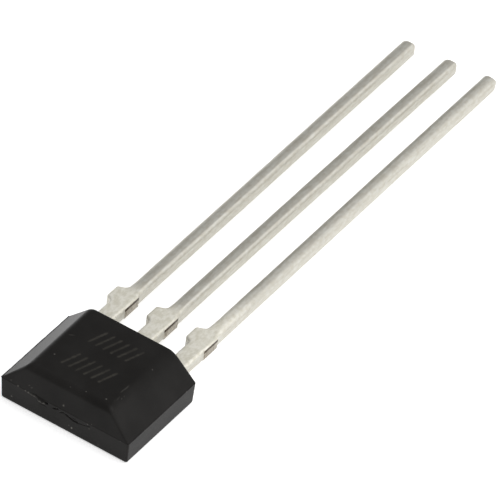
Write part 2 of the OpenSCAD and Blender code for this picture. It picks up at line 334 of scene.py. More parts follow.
# %% [markdown]
# ## Epoxy: the compound
# The body is epoxy moulding compound: fine glass sand in a black resin, pressed hot against a mould
# whose steel was spark eroded. The sand makes it nearly black with very little gloss, and the eroded
# steel leaves a matt grain of 20 to 40 micrometres. The laser burns the resin away and bares pale
# glass, so a laser mark is a slightly lighter brown-grey. A chip bares the same glass. Where the thin
# flash at the parting line tore off, the resin is rougher than anywhere else. Three numbers that are
# painted on the points tell the material where those places are. An image texture could do it too,
# but the numbers need no unwrapping and stay sharp.

# %% Moulded epoxy
GRAIN = 0.035
CLOUD = 0.9
moulded_epoxy, tree = new_material("epoxy_moulding_compound_spark_textured")
place = add(tree, "TexCoord").outputs["Object"]
grain = add(tree, "TexNoise", {"Vector": place, "Scale": 1 / (GRAIN * MM), "Detail": 2.0})
cloud = add(tree, "TexNoise", {"Vector": place, "Scale": 1 / (CLOUD * MM), "Detail": 3.0})
tone = add(tree, "ValToRGB", {"Fac": cloud.outputs["Fac"]})
for stop, at, hex_code in zip(tone.color_ramp.elements, (0.35, 0.65), ("#1c1b1a", "#222120")):
    stop.position, stop.color = at, linear(hex_code)
laser = add(tree, "Attribute", attribute_name="laser")
scuff_and_highlight = add(tree, "Attribute", attribute_name="scuff_and_highlight")
marked = add(tree, "Mix", {
    "Factor": laser.outputs["Fac"], "A": tone.outputs["Color"], "B": linear("#393733"),
}, data_type="RGBA")
# This pale colour goes on chips and scratches, and also on the crest of the flash as a painted
# highlight.
worn = add(tree, "Mix", {
    "Factor": scuff_and_highlight.outputs["Fac"], "A": marked.outputs["Result"], "B": linear("#8d8a84"),
}, data_type="RGBA")
matt = add(tree, "MapRange", {"Value": grain.outputs["Fac"], "To Min": 0.30, "To Max": 0.40})
flash = add(tree, "Attribute", attribute_name="flash")
torn_matt = add(tree, "Mix", {"Factor": flash.outputs["Fac"], "A": matt.outputs["Result"], "B": 0.95})
bump = add(tree, "Bump", {
    "Height": grain.outputs["Fac"], "Strength": 0.35, "Distance": 0.006 * MM,
})
surface(tree, add(tree, "BsdfPrincipled", {
    "Base Color": worn.outputs["Result"],
    "Roughness": torn_matt.outputs["Result"],
    "IOR": 1.55,
    "Specular IOR Level": 0.06,
    "Normal": bump.outputs["Normal"],
}))
print("epoxy grain", GRAIN, "mm, clouds", CLOUD, "mm")

# %% [markdown]
# ## Epoxy: the shape of the body
# The mould has two halves. Below the parting line all four walls lean in a little, so that the body
# comes out of the mould. Above it the two sides are 46 degree chamfers. For each height the body is
# then just a rectangle with slightly rounded corners, and one function gives how far it reaches.
# Towards the leads both chamfers are a little steeper, and the right ridge is rounder, perhaps
# because the mould is worn there. So the side walls are blended between two shapes along the body.

# %% Sizes of the body
BODY_HALF = 4.09 / 2
BODY_END = 3.07 / 2
BODY_TOP = 1.48
RIDGE_R, FAR_RIDGE_R = 0.3, 0.62
PLAIN_R, LEAD_R = 0.2, 0.07
BACK_R = 0.09
PARTING = 0.715
LOW_SLOPE = math.tan(math.radians(2.5))
PLAIN_SLOPE = math.tan(math.radians(8.5))
LEAD_SLOPE = math.tan(math.radians(4.5))


def reach(z, at_parting, slope, top_r, back_r=BACK_R):
    """How far a wall stands out at the heights z."""
    z = np.asarray(z, float)
    out = np.where(z < PARTING, at_parting - (PARTING - z) * LOW_SLOPE,
                   at_parting - (z - PARTING) * slope)
    lean = math.atan(slope)
    mid = BODY_TOP - top_r
    touch = mid + top_r * math.sin(lean)
    centre = at_parting - (touch - PARTING) * slope - top_r * math.cos(lean)
    curve = centre + np.sqrt(np.maximum(top_r ** 2 - (z - mid) ** 2, 0))
    out = np.where(z > touch, curve, out)
    dip = math.atan(LOW_SLOPE)
    touch = back_r * (1 - math.sin(dip))
    centre = at_parting - (PARTING - touch) * LOW_SLOPE - back_r * math.cos(dip)
    curve = centre + np.sqrt(np.maximum(back_r ** 2 - (back_r - z) ** 2, 0))
    return np.where(z < touch, curve, out)


print("half width at the parting line:", float(reach(PARTING, BODY_HALF, PLAIN_SLOPE, RIDGE_R)))

# %% Levels of the body
# They lie close together on the rounded edges and at the parting line, and further apart between.
round_up = BODY_TOP - RIDGE_R + RIDGE_R * np.sin(np.radians(np.linspace(12, 90, 19)))
LEVELS = np.concatenate([
    BACK_R * (1 - np.cos(np.radians(np.linspace(0, 90, 7)))),
    np.arange(0.115, 0.45, 0.03),
    np.arange(0.45, 0.80, 0.01),
    np.arange(0.80, 1.23, 0.03),
    round_up,
])
LEVELS[-1] = BODY_TOP


def chamfer_reach(degrees, ridge_r):
    """Reach of a side wall whose chamfer stands at that angle, with that radius at the marked face."""
    return reach(LEVELS, BODY_HALF, 1 / math.tan(math.radians(degrees)), ridge_r)


SIDE_REACH = chamfer_reach(46, RIDGE_R)
FAR_LEFT_REACH = chamfer_reach(46.7, RIDGE_R)
FAR_RIGHT_REACH = chamfer_reach(48.2, FAR_RIDGE_R)
PLAIN_REACH = reach(LEVELS, BODY_END, PLAIN_SLOPE, PLAIN_R)
LEAD_REACH = reach(LEVELS, BODY_END, LEAD_SLOPE, LEAD_R)
print(len(LEVELS), "levels; half width from", SIDE_REACH[0].round(3), "to", SIDE_REACH[-1].round(3))

# %% Places along the walls
END_STEP, END_RUN = 0.012, 0.072


def spread(fine_from, fine_to, fine, coarse, half):
    """Places from -half to half, close together near the ends and between two limits."""
    ends = END_STEP * np.arange(1, 7)
    inner = np.concatenate([
        np.arange(-half + END_RUN + coarse, fine_from, coarse),
        np.arange(fine_from, fine_to, fine),
        np.arange(fine_to, half - END_RUN - coarse / 2, coarse),
    ])
    return np.concatenate([[-half], -half + ends, inner, half - ends[::-1], [half]]) / half


ACROSS = spread(-1.56, 0.95, 0.02, 0.03, BODY_HALF)
ALONG = spread(-1.40, 1.40, 0.03, 0.03, BODY_END)
NX, NY = len(ACROSS) - 1, len(ALONG) - 1
RING = 2 * (NX + NY)
print(RING, "points round the body")

# %% One outline of the body
CORNER_LOW, CORNER_GROWTH = 0.05, 0.08


def bend_corner(along, out, half_along, r):
    """Round the two corners of one side of the outline."""
    near = half_along - np.abs(along)
    part = np.clip(1 - near / r, 0, 1) * math.pi / 4
    turned = near < r
    new_along = np.sign(along) * (half_along - r + r * np.sin(part))
    new_out = out - r + r * np.cos(part)
    return np.where(turned, new_along, along), np.where(turned, new_out, out)


def toward_leads(y):
    """From 0 at the plain end to 1 at the lead end, with a soft start and stop."""
    return ease(np.clip((y / BODY_END + 0.9) / 1.8, 0, 1))


def outline_at(level):
    """Ring of points at one level, as x and y."""
    half = SIDE_REACH[level]
    plain, lead = PLAIN_REACH[level], LEAD_REACH[level]
    corner = CORNER_LOW + CORNER_GROWTH * max(LEVELS[level] - PARTING, 0) / (BODY_TOP - PARTING)
    mid, half_y = (lead - plain) / 2, (lead + plain) / 2
    x1, y1 = bend_corner(ACROSS[:-1] * half, half_y, half, corner)
    y2, x2 = bend_corner(ALONG[:-1] * half_y, half, half_y, corner)
    x3, y3 = bend_corner(-ACROSS[:-1] * half, half_y, half, corner)
    y4, x4 = bend_corner(-ALONG[:-1] * half_y, half, half_y, corner)
    far_left, far_right = FAR_LEFT_REACH[level] - half, FAR_RIGHT_REACH[level] - half
    x2 = x2 + far_right * toward_leads(y2)
    x4 = x4 + far_left * toward_leads(y4)
    x3 = x3 * (1 + np.where(x3 > 0, far_right, far_left) / half)
    x = np.concatenate([x1, x2, x3, -x4])
    y = np.concatenate([-y1, y2, y3, y4]) + mid
    return np.stack([x, y], 1)


print("the middle outline reaches", outline_at(len(LEVELS) // 2).max(0).round(3))

# %% [markdown]
# ## Mould marks on the plain end
# The epoxy is squeezed in through a gate at the plain end. When the gate is broken off it leaves a
# shallow crescent, and a thin ridge of flash beside it where the mould halves did not quite close.
# They are a height map on that wall: proud of it where positive and cut into it where negative. A
# bump texture would be quicker, but these marks are big enough to catch the light on their own.

# %% Distance to a line of points
def near_line(x, z, line):
    """Distance from each place to a line of points, and how far along it the nearest place is."""
    best = np.full(np.shape(x), 9.0)
    share = np.zeros(np.shape(x))
    last = len(line) - 1
    for i, (a, b) in enumerate(zip(line[:-1], line[1:])):
        run = np.subtract(b, a)
        t = np.clip(((x - a[0]) * run[0] + (z - a[1]) * run[1]) / (run @ run), 0, 1)
        d = np.hypot(x - a[0] - t * run[0], z - a[1] - t * run[1])
        share = np.where(d < best, (i + t) / last, share)
        best = np.minimum(best, d)
    return best, share


print("from (1, 1) to the x axis:", near_line(1.0, 1.0, [(0, 0), (2, 0)])[0])

# %% Flash and grooves of the broken gate
# Points are x and z on the wall. Each groove has its half width and its depth at the end.
FLASH_LINE = [
    (-1.19, 0.683), (-1.04, 0.689), (-0.89, 0.690), (-0.81, 0.648), (-0.72, 0.615), (-0.64, 0.600),
]
FLASH_WIDTH = [0.008, 0.020, 0.026, 0.046, 0.044, 0.010]
GROOVES = [
    ([(-1.00, 0.752), (-0.88, 0.745), (-0.77, 0.715), (-0.63, 0.672), (-0.53, 0.690)], 0.018, 0.024),
    ([(-0.66, 0.668), (-0.58, 0.650), (-0.53, 0.660)], 0.033, 0.050),
    ([(-0.76, 0.532), (-0.66, 0.535), (-0.55, 0.530)], 0.012, 0.016),
    ([(-0.36, 0.612), (-0.27, 0.632)], 0.030, 0.036),
    ([(-0.25, 0.640), (-0.19, 0.672)], 0.026, 0.040),
    ([(-0.13, 0.590), (-0.01, 0.655)], 0.020, 0.030),
    ([(0.03, 0.632), (0.18, 0.580), (0.29, 0.548), (0.46, 0.550)], 0.029, 0.042),
    ([(0.44, 0.550), (0.66, 0.594), (0.84, 0.652)], 0.012, 0.022),
    ([(0.26, 0.640), (0.40, 0.625)], 0.012, 0.012),
]


def wall_relief(x, z):
    """Height of the marks above the plain end wall, in millimetres."""
    gap, share = near_line(x, z, FLASH_LINE)
    wide = np.interp(share * (len(FLASH_LINE) - 1), np.arange(len(FLASH_LINE)), FLASH_WIDTH)
    wide = wide * (1 + 0.25 * wander(x, 2, 0.05))
    height = (0.9 + 0.4 * wander(x, 1, 0.06)) * wide * np.clip(1 - (gap / wide) ** 2, 0, 1)
    for number, (line, half_width, deep) in enumerate(GROOVES):
        gap, share = near_line(x, z, line)
        half_width = half_width * (1 + 0.30 * wander(x, 80 + number, 0.05))
        ends = np.clip(share * 6 + 0.3, 0, 1) * np.clip((1 - share) * 6 + 0.3, 0, 1)
        height = height - deep * ends * np.clip(1 - (gap / half_width) ** 2, 0, 1)
    return height


probe = wall_relief(np.array([-0.76, 0.29]), np.array([0.63, 0.548]))
print("flash stands", round(float(probe[0]), 3), "mm proud")
print("crescent is", round(float(-probe[1]), 3), "mm deep")

# %% Rings of the body
rings = np.zeros((len(LEVELS), RING, 3))
for level, height in enumerate(LEVELS):
    rings[level, :, :2] = outline_at(level)
    rings[level, :, 2] = height
plain_side = slice(1, NX)
rings[:, plain_side, 1] -= wall_relief(rings[:, plain_side, 0], rings[:, plain_side, 2])
print("body rings:", rings.shape)

# %% Seam and ledge at the parting line
# The seam is a hair proud all round, in pieces. On the left the mould halves were a little out of
# line, which left a thin ledge with a shallow step above it.
SEAM_SHARE, SEAM_HEIGHT = 0.0022, 0.009
LEDGE_OUT, STEP_IN = 0.020, 0.024
GIRTH_LEVEL = 30
mid_ring = rings[GIRTH_LEVEL, :, :2]
girth = np.cumsum(np.hypot(*np.diff(mid_ring, axis=0, append=mid_ring[:1]).T))
lip = 0.55 + 0.45 * wander(girth, 4, 0.12)
at_parting = np.exp(-((LEVELS - PARTING) / SEAM_HEIGHT) ** 2)[:, None, None]
rings[:, :, :2] *= 1 - SEAM_SHARE * (1 - at_parting * lip[None, :, None])
ledge = LEDGE_OUT * np.exp(-((LEVELS - 0.716) / 0.008) ** 2)
ledge = ledge - STEP_IN * np.exp(-((LEVELS - 0.736) / 0.012) ** 2)
left_side = slice(2 * NX + NY + 1, 2 * (NX + NY))
rings[:, left_side, 0] -= ledge[:, None] * (0.85 + 0.3 * wander(rings[:, left_side, 1], 8, 0.15))
print("ledge from", round(float(ledge.min()), 4), "to", round(float(ledge.max()), 4), "mm")

# %% [markdown]
# ## Faces of the body
# The walls are the rings joined to each other. The marked face and the back face are grids whose rim
# is the top or the bottom ring, and the grid inside it is blended from that rim. The back face has
# the round mark of the ejector pin that pushed the body out of the mould.

# %% Grid inside a ring
def cap_points(ring):
    """Inner points of a face whose rim is a ring, as (NY - 1, NX - 1, 3)."""
    bottom = ring[:NX + 1]
    far = ring[NX + NY:2 * NX + NY + 1][::-1]
    right_rim = ring[NX:NX + NY + 1]
    left_rim = np.concatenate([ring[:1], ring[2 * NX + NY:][::-1]])
    s = ((ACROSS + 1) / 2)[None, :, None]
    t = ((ALONG + 1) / 2)[:, None, None]
    blend = ((1 - t) * bottom[None] + t * far[None]
             + (1 - s) * left_rim[:, None] + s * right_rim[:, None])
    blend = blend - ((1 - s) * (1 - t) * ring[0] + s * (1 - t) * ring[NX]
                     + s * t * ring[NX + NY] + (1 - s) * t * ring[2 * NX + NY])
    return blend[1:-1, 1:-1]


PIN_Y, PIN_R, PIN_WALL, PIN_DEPTH = -0.65, 0.515, 0.03, 0.04
top_inner = cap_points(rings[-1])
back_inner = cap_points(rings[0])
from_pin = np.hypot(back_inner[..., 0], back_inner[..., 1] - PIN_Y)
back_inner[..., 2] += PIN_DEPTH * np.clip((PIN_R - from_pin) / PIN_WALL, 0, 1)
print("marked face grid:", top_inner.shape)

# %% [markdown]
# ## Laser mark
# Two rows of plain slanted bars stand where such a part carries its code. A laser draws each in a few
# passes, so a bar wavers a little, is uneven inside and starts and ends softly. The burn is a share
# from 0 to 1 on the points of the marked face, and it also sinks them by a few micrometres.

# %% Burn of the laser
BAR_STEP, BAR_LEAN, BAR_HALF = 0.235, 0.09, 0.27
BURN_REACH, BURN_FADE, BURN_DEPTH = 0.042, 0.02, 0.004
BARS = []
for row_y, first, count in ((0.62, -0.52, 6), (-0.48, -0.60, 6)):
    for k in range(count):
        x = first + BAR_STEP * k
        BARS.append(((x - BAR_LEAN, row_y - BAR_HALF), (x + BAR_LEAN, row_y + BAR_HALF)))


def laser_burn(x, y):
    """From 0 to 1, how far the laser has burnt the marked face."""
    burn = np.zeros(np.shape(x))
    for i, (a, b) in enumerate(BARS):
        gap = near_line(x, y, [a, b])[0] + 0.010 * wander(x * 3 + y * 5, 10 + i, 0.12)
        burn = np.maximum(burn, np.clip((BURN_REACH - gap) / BURN_FADE, 0, 1))
    patch = 0.75 + 0.25 * wander(x * 2 - y * 3, 30, 0.2)
    return burn * patch


burnt = laser_burn(top_inner[..., 0], top_inner[..., 1])
top_inner[..., 2] -= BURN_DEPTH * burnt
print(len(BARS), "laser bars cover", round(float(burnt.mean()) * 100, 1), "% of the face")

# %% Join the body
def ring_faces(count, levels):
    """Quads between stacked rings of the same count."""
    k = np.arange(count)
    nxt = (k + 1) % count
    rows = []
    for level in range(levels - 1):
        low = level * count
        rows.append(np.stack([low + k, low + nxt, low + count + nxt, low + count + k], 1))
    return np.concatenate(rows)


def cap_grid(ring_start, inner_start):
    """Index of every point of a cap, as (NY + 1, NX + 1)."""
    grid = np.zeros((NY + 1, NX + 1), int)
    grid[0] = ring_start + np.arange(NX + 1)
    grid[:, NX] = ring_start + NX + np.arange(NY + 1)
    grid[NY] = ring_start + (NX + NY + np.arange(NX + 1))[::-1]
    grid[1:NY, 0] = ring_start + (2 * NX + NY + np.arange(1, NY))[::-1]
    grid[1:NY, 1:NX] = inner_start + np.arange((NY - 1) * (NX - 1)).reshape(NY - 1, NX - 1)
    return grid


def grid_faces(grid, flip):
    """Quads of a grid of point indices; flip turns them over."""
    a, b, c, d = grid[:-1, :-1], grid[:-1, 1:], grid[1:, 1:], grid[1:, :-1]
    order = (d, c, b, a) if flip else (a, b, c, d)
    return np.stack([v.ravel() for v in order], 1)


print("a ring of 4 on 2 levels has", len(ring_faces(4, 2)), "faces")

# %% The body as one mesh
wall_count = rings.shape[0] * RING
inner_count = (NY - 1) * (NX - 1)
body_points = np.concatenate([part.reshape(-1, 3) for part in (rings, top_inner, back_inner)])
top_grid = cap_grid((len(LEVELS) - 1) * RING, wall_count)
back_grid = cap_grid(0, wall_count + inner_count)
body_faces = np.concatenate([
    ring_faces(RING, len(LEVELS)),
    grid_faces(top_grid, False),
    grid_faces(back_grid, True),
])
body = skin("epoxy_body", body_points, body_faces.tolist(), [moulded_epoxy])
print("body:", len(body_points), "points", len(body_faces), "faces")

# %% Write the burn and the torn flash on the points
def paint(piece, name, values):
    """A named number on every point, which the material reads."""
    layer = piece.data.attributes.new(name, "FLOAT", "POINT")
    layer.data.foreach_set("value", np.asarray(values, np.float32))


burn_values = np.zeros(len(body_points))
burn_values[wall_count:wall_count + inner_count] = burnt.ravel()
paint(body, "laser", burn_values)
from_lip = (body_points[:, 2] - PARTING - 0.010) / 0.012
torn_lip = np.exp(-from_lip ** 2) * (0.8 + 0.2 * wander(body_points[:, 1], 7, 0.1))
paint(body, "flash", torn_lip)
print("painted:", [layer.name for layer in body.data.attributes if layer.name in ("laser", "flash")])

# %% [markdown]
# ## Wear of the epoxy, and a painted highlight
# Loose parts rub against each other in their bag. That leaves pale pin-prick chips, mostly along the
# edges, and a few hairline scratches. They are painted on the points with a fixed seed. The crest of
# the flash on the plain end is painted pale as well, as a painted highlight. Real dents in the mesh
# would need far more points, and from any normal distance a chip is only a pale speck.

# %% Chips
# Each chip has its place on the wall (x, z) or on the marked face (x, y), its radius and strength.
rng = np.random.default_rng(SEED)
scuffs_and_highlight = np.zeros(len(body_points))
WALL_CHIPS = [
    (-1.485, 0.731, 0.020, 0.30), (-1.243, 0.701, 0.018, 0.35), (-1.142, 0.709, 0.016, 0.40),
    (-1.071, 0.884, 0.016, 0.22), (-1.157, 0.925, 0.012, 0.20), (0.251, 0.250, 0.020, 0.75),
    (0.165, 0.300, 0.010, 0.30), (0.742, 0.686, 0.016, 0.35), (0.865, 0.749, 0.012, 0.25),
    (0.797, 0.555, 0.014, 0.30), (-0.050, 0.868, 0.022, 0.40), (-1.674, 0.241, 0.018, 0.40),
    (-1.719, 0.787, 0.014, 0.20), (1.10, 0.16, 0.016, 0.25), (1.80, 0.70, 0.012, 0.40),
]
TOP_CHIPS = [(-1.02, -0.62, 0.012, 0.5), (1.02, -1.16, 0.014, 0.6), (0.45, -1.26, 0.012, 0.4)]


def add_chip(x, y, z, r, strength):
    """A pale speck, full in the middle and gone a little outside its radius."""
    gap = np.linalg.norm(body_points - (x, y, z), axis=1)
    np.maximum(scuffs_and_highlight, strength * np.clip(1.6 - gap / r, 0, 1), out=scuffs_and_highlight)


for x, z, r, strength in WALL_CHIPS:
    add_chip(x, -float(reach(z, BODY_END, PLAIN_SLOPE, PLAIN_R)), z, r, strength)
for x, y, r, strength in TOP_CHIPS:
    add_chip(x, y, BODY_TOP, r, strength)
print("chips by hand:", len(WALL_CHIPS) + len(TOP_CHIPS))

# %% Painted highlight on the crest of the flash, and chips along the edges
# Two draws in each round are spare: they only keep the sequence of the ones that follow.
EDGE_CHIPS = 22
EDGE_HEIGHTS = [0.03, PARTING, PARTING, 1.45]
from_flash = near_line(body_points[:, 0], body_points[:, 2], FLASH_LINE)[0]
# The crest of the flash ridge is painted pale as a painted highlight, where light would catch it. It
# shares its numbers with the chips and scratches.
painted_crest_highlight = np.clip(1.3 - from_flash / 0.026, 0, 1) * (body_points[:, 1] < -1.5)
np.maximum(scuffs_and_highlight, 0.24 * painted_crest_highlight * (0.7 + 0.5 * wander(body_points[:, 0], 5, 0.05)), out=scuffs_and_highlight)
for _ in range(EDGE_CHIPS):
    rng.integers(0, 4)
    rng.uniform(-1, 1)
    level = int(np.argmin(np.abs(LEVELS - rng.choice(EDGE_HEIGHTS))))
    spot = rings[level, rng.integers(0, RING)]
    add_chip(*spot, rng.uniform(0.005, 0.012), rng.uniform(0.05, 0.30))
print("chips along the edges:", EDGE_CHIPS)

# %% Scratches
SCRATCHES = [
    ((1.16, -0.75, 1.475), (1.18, -0.35, 1.475), 0.22),
    ((1.22, -1.15, 1.46), (1.24, -0.85, 1.46), 0.20),
    ((1.30, -1.20, 1.43), (1.27, -1.00, 1.44), 0.15),
    ((-1.20, 0.20, 1.47), (-1.02, 0.30, 1.48), 0.12),
]


def add_scratch(start, end, strength):
    """A hairline between two points of the surface."""
    start, end = np.array(start), np.array(end)
    run = end - start
    t = np.clip((body_points - start) @ run / (run @ run), 0, 1)
    gap = np.linalg.norm(body_points - start - t[:, None] * run, axis=1)
    fade = np.sin(np.pi * np.clip(t, 0.02, 0.98))
    np.maximum(scuffs_and_highlight, strength * fade * np.clip(1.4 - gap / 0.014, 0, 1), out=scuffs_and_highlight)


for scratch in SCRATCHES:
    add_scratch(*scratch)
paint(body, "scuff_and_highlight", scuffs_and_highlight)
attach(body, "root")
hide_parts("body")
print("scratches:", len(SCRATCHES), "and worn points:", int((scuffs_and_highlight > 0.05).sum()))

# %% [markdown]
# ## Tin plate and copper
# The leads are copper alloy with a few micrometres of matt tin on them. Tin is a soft warm grey
# metal. Plating follows the rolled grain of the strip, so it is streaked along the lead, and thin
# and thick places give it small blotches. Its crystals are 2 to 5 micrometres, too fine to show, so
# they are drawn at 30 to break up the mirror. The upper faces next to the body are duller, and they
# are also painted paler, as painted light on their tops; a number painted on the points says where.
# Where the punch cut the strip after plating, bare copper shows, browned by air. Its dark edge along
# the top and the ends of the cut is partly torn copper and partly painted shade. The marks of the
# punch are drawn coarser too.

# %% Matt tin
def streaks(tree, place, width, length):
    """Noise that is drawn out along the lead, for a streak of that width and length in mm."""
    stretched = add(tree, "Mapping", {
        "Vector": place, "Scale": (1 / (width * MM), 1 / (length * MM), 1 / (width * MM)),
    })
    return add(tree, "TexNoise", {"Vector": stretched.outputs["Vector"], "Scale": 1.0, "Detail": 3.0})


STREAK_SIZE = (0.07, 0.6)
BLOTCH_SIZE = (0.09, 0.15)
CRYSTAL = 0.03
matt_tin, tree = new_material("matt_tin_electroplated")
place = add(tree, "TexCoord").outputs["Object"]
long_streaks = streaks(tree, place, *STREAK_SIZE)
blotches = streaks(tree, place, *BLOTCH_SIZE)
crystals = add(tree, "TexNoise", {"Vector": place, "Scale": 1 / (CRYSTAL * MM), "Detail": 2.0})
tin_tone = add(tree, "ValToRGB", {"Fac": long_streaks.outputs["Fac"]})
for stop, at, hex_code in zip(tin_tone.color_ramp.elements, (0.30, 0.70), ("#c9c7c0", "#d4d3cd")):
    stop.position, stop.color = at, linear(hex_code)
tint = add(tree, "ValToRGB", {"Fac": blotches.outputs["Fac"]})
for stop, at, hex_code in zip(tint.color_ramp.elements, (0.35, 0.65), ("#f0ede7", "#fcfcfa")):
    stop.position, stop.color = at, linear(hex_code)
tin_colour = add(tree, "Mix", {
    "Factor": 1.0, "A": tin_tone.outputs["Color"], "B": tint.outputs["Color"],
}, data_type="RGBA", blend_type="MULTIPLY")
tin_matt = add(tree, "MapRange", {"Value": blotches.outputs["Fac"], "To Min": 0.50, "To Max": 0.60})
# This share makes the tin rougher, and it also lays a paler colour on the upper faces as painted light.
dull_and_painted_light = add(tree, "Attribute", attribute_name="dull_and_painted_light")
dull_painted_light_tone = add(tree, "ValToRGB", {"Fac": blotches.outputs["Fac"]})
for stop, at, hex_code in zip(dull_painted_light_tone.color_ramp.elements, (0.35, 0.65), ("#dddace", "#ebe9e1")):
    stop.position, stop.color = at, linear(hex_code)
dull_painted_light_colour = add(tree, "Mix", {
    "Factor": dull_and_painted_light.outputs["Fac"], "A": tin_colour.outputs["Result"], "B": dull_painted_light_tone.outputs["Color"],
}, data_type="RGBA")
dull_matt = add(tree, "Mix", {"Factor": dull_and_painted_light.outputs["Fac"], "A": tin_matt.outputs["Result"], "B": 0.75})
tin_bump = add(tree, "Bump", {
    "Height": crystals.outputs["Fac"], "Strength": 0.25, "Distance": 0.004 * MM,
})
drawn_bump = add(tree, "Bump", {
    "Height": long_streaks.outputs["Fac"], "Strength": 0.15, "Distance": 0.008 * MM,
    "Normal": tin_bump.outputs["Normal"],
})
surface(tree, add(tree, "BsdfPrincipled", {
    "Base Color": dull_painted_light_colour.outputs["Result"],
    "Metallic": 1.0,
    "Roughness": dull_matt.outputs["Result"],
    "Normal": drawn_bump.outputs["Normal"],
}))
print("tin streaks", STREAK_SIZE, "mm, blotches", BLOTCH_SIZE, "mm, crystals", CRYSTAL, "mm")

# %% Sheared copper
CUT_WIDTH, CUT_LENGTH = 0.03, 0.15


def torn_copper(name, dark, pale):
    """Cut copper alloy, streaked across the strip by the punch."""
    material, tree = new_material(name)
    place = add(tree, "TexCoord").outputs["Object"]
    pulled = add(tree, "Mapping", {
        "Vector": place,
        "Scale": (1 / (CUT_WIDTH * MM), 1 / (CUT_WIDTH * MM), 1 / (CUT_LENGTH * MM)),
    })
    marks = add(tree, "TexNoise", {"Vector": pulled.outputs["Vector"], "Scale": 1.0, "Detail": 3.0})
    colour = add(tree, "ValToRGB", {"Fac": marks.outputs["Fac"]})
    for stop, at, hex_code in zip(colour.color_ramp.elements, (0.35, 0.62), (dark, pale)):
        stop.position, stop.color = at, linear(hex_code)
    rough = add(tree, "Bump", {
        "Height": marks.outputs["Fac"], "Strength": 0.5, "Distance": 0.010 * MM,
    })
    surface(tree, add(tree, "BsdfPrincipled", {
        "Base Color": colour.outputs["Color"],
        "Metallic": 1.0,
        "Roughness": 0.48,
        "Normal": rough.outputs["Normal"],
    }))
    return material


sheared_copper = torn_copper("copper_alloy_sheared_by_punch", "#857d70", "#b3ada1")
# The dark finish for the top and the ends of each cut face is partly torn copper and partly painted
# shade, below the rolled edge and at the ends of the cut.
torn_edge_and_shade = torn_copper("copper_alloy_torn_edge_painted_shade", "#3a322b", "#5e5346")
print("cut finishes:", sheared_copper.name, torn_edge_and_shade.name)

# %% [markdown]
# ## Outline of a lead
# A lead is stamped from strip, so it is one outline cut through a sheet. The corner points of that
# outline are written down with a radius each. To roll an edge, the same outline is drawn again a
# little smaller at each level, with the same number of points, so that the rings join up. A curve
# with a bevel could do it faster, but it rolls every edge alike, and a punched edge isn't like that.

# %% Draw an outline smaller
SMALLEST_R = 0.003


def rounded_outline(corners, inset, step=12):
    """Closed outline (x, y, radius per corner, anticlockwise), moved in by inset, as points."""
    flat = np.array([c[:2] for c in corners])
    n = len(flat)
    edges = np.roll(flat, -1, 0) - flat
    edges = edges / np.linalg.norm(edges, axis=1)[:, None]
    normals = np.stack([-edges[:, 1], edges[:, 0]], 1)
    points = []
    for i, corner in enumerate(corners):
        before, after = edges[i - 1], edges[i]
        cross = before[0] * after[1] - before[1] * after[0]
        dot = float(np.clip(before @ after, -1, 1))
        angle = math.atan2(cross, dot)
        mitre = normals[i - 1] + normals[i]
        p = flat[i] + mitre * inset / (1 + dot)
        r = corner[2] - inset if angle > 0 else corner[2] + inset
        r = max(r, SMALLEST_R) if corner[2] > 0 else 0
        if r == 0 or abs(angle) < 1e-6:
            points.append(p)
            continue
        back_off = r * math.tan(abs(angle) / 2)
        count = max(1, math.ceil(abs(math.degrees(angle)) / step))
        start = p - before * back_off
        turn_side = math.copysign(1, angle)
        centre = start + turn_side * r * np.array([-before[1], before[0]])
        first = math.atan2(*(start - centre)[::-1])
        for k in range(count + 1):
            t = first + angle * k / count
            points.append(centre + r * np.array([math.cos(t), math.sin(t)]))
    return np.array(points)


square = [(0, 0, 1), (4, 0, 1), (4, 4, 1), (0, 4, 1)]
print("points of a rounded square:", len(rounded_outline(square, 0)))

# %% Sizes of the leads
# The roots are a little wider than the free leads. On the left of each stands a long slanted stub of
# the bar that held the strip together, and on the right it is cut nearly flush.
PITCH = 1.27
HALF = 0.4 / 2
ROOT_Y = BODY_END - 0.06
STUB_Y = BODY_END + 1.48
STUB_HALF = 0.47 / 2
STUB_SLANT = math.tan(math.radians(26))
SHEAR_LOW, SHEAR_HIGH = 2.63, 3.26
NOTCH_Y = 1.365
NOTCH_R = 0.07
POST_NEAR, POST_FAR = 0.795, 1.195
POST_OUT, POST_IN = 1.47, 0.67
PADDLE_NEAR, PADDLE_FAR, PADDLE_HALF = -0.785, 0.615, 0.85
POST_R, NECK_R = 0.1, 0.02
TIP_RIGHT_R, TIP_LEFT_R = 0.15, 0.17
UNTRIMMED = {1: 0.04, 2: 0.02, 3: 0.025}
TIPS = {i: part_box(f"lead_{i}")[1].y / MM + more for i, more in UNTRIMMED.items()}
print("tips at y:", {i: round(y, 3) for i, y in TIPS.items()})

# %% Corner points of the three leads
def side_corners(x, side, root_out, stand_out, fillets, soft):
    """Corners of a wide root and its dambar stub, from the body towards the tip."""
    wall = x + side * HALF
    root = wall + side * root_out
    end = wall + side * stand_out
    low, high = (SHEAR_LOW, SHEAR_HIGH) if side > 0 else (STUB_Y - STUB_HALF, STUB_Y + STUB_HALF)
    near, far = (stand_out - root_out) * STUB_SLANT, stand_out * STUB_SLANT
    return [
        (wall, ROOT_Y, 0), (root, ROOT_Y, 0), (root, low - near, fillets[0]),
        (end, low, soft), (end, high, soft), (wall, high + far, fillets[1]),
    ]


def notch_corners(x, side):
    """Corners of a round notch that keys the lead into the epoxy, from the body towards the tip."""
    wall = x + side * HALF
    deep = wall - side * NOTCH_R
    return [
        (wall, NOTCH_Y - NOTCH_R, 0.01), (deep, NOTCH_Y - NOTCH_R, NOTCH_R),
        (deep, NOTCH_Y + NOTCH_R, NOTCH_R), (wall, NOTCH_Y + NOTCH_R, 0.01),
    ]


